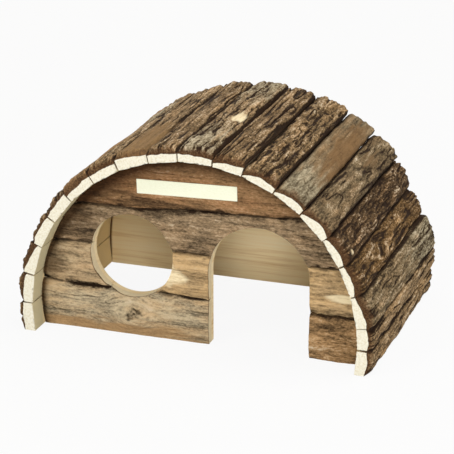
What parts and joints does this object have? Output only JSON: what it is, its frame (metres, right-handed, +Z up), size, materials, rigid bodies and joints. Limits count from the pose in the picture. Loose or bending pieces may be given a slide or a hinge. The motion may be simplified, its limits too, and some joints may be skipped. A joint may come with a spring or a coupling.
{
  "type": "small animal house",
  "caption": "Half-round shelter for small pets: bark slats laid round two bark-faced end walls, with an arched door and a round window in the front and no floor.",
  "frame": {"origin": "middle of the floor that the house stands on", "axes": "+X to the right seen from the door side, +Y from the door wall to the rear wall, +Z up"},
  "size_m": [0.3174, 0.208, 0.1785],
  "materials": {
    "slat_bark": "rough bark with pale sawn ends and underside",
    "board_bark": "rough bark with pale sawn edges",
    "plywood": "bare sanded plywood",
    "brad_steel": "bright wire",
    "plate_card": "matt, bare"
  },
  "bodies": {
    "root": {"roof_slat_01": "slat_bark", "roof_slat_02": "slat_bark", "roof_slat_03": "slat_bark", "roof_slat_04": "slat_bark", "roof_slat_05": "slat_bark", "roof_slat_06": "slat_bark", "roof_slat_07": "slat_bark", "roof_slat_08": "slat_bark", "roof_slat_09": "slat_bark", "roof_slat_10": "slat_bark", "roof_slat_11": "slat_bark", "roof_slat_12": "slat_bark", "roof_slat_13": "slat_bark", "roof_slat_14": "slat_bark", "roof_slat_15": "slat_bark", "roof_slat_16": "slat_bark", "roof_slat_17": "slat_bark", "roof_slat_18": "slat_bark", "roof_slat_19": "slat_bark", "front_board_bottom_left": "board_bark", "front_board_bottom_right": "board_bark", "front_board_middle_left": "board_bark", "front_board_middle_centre": "board_bark", "front_board_middle_right": "board_bark", "front_board_upper": "board_bark", "front_board_top": "board_bark", "rear_board_bottom": "board_bark", "rear_board_middle": "board_bark", "rear_board_upper": "board_bark", "rear_board_top": "board_bark", "front_wall_backing": "plywood", "rear_wall_backing": "plywood", "front_wall_brads": "brad_steel", "rear_wall_brads": "brad_steel", "name_plate": "plate_card"}
  },
  "joints": []
}
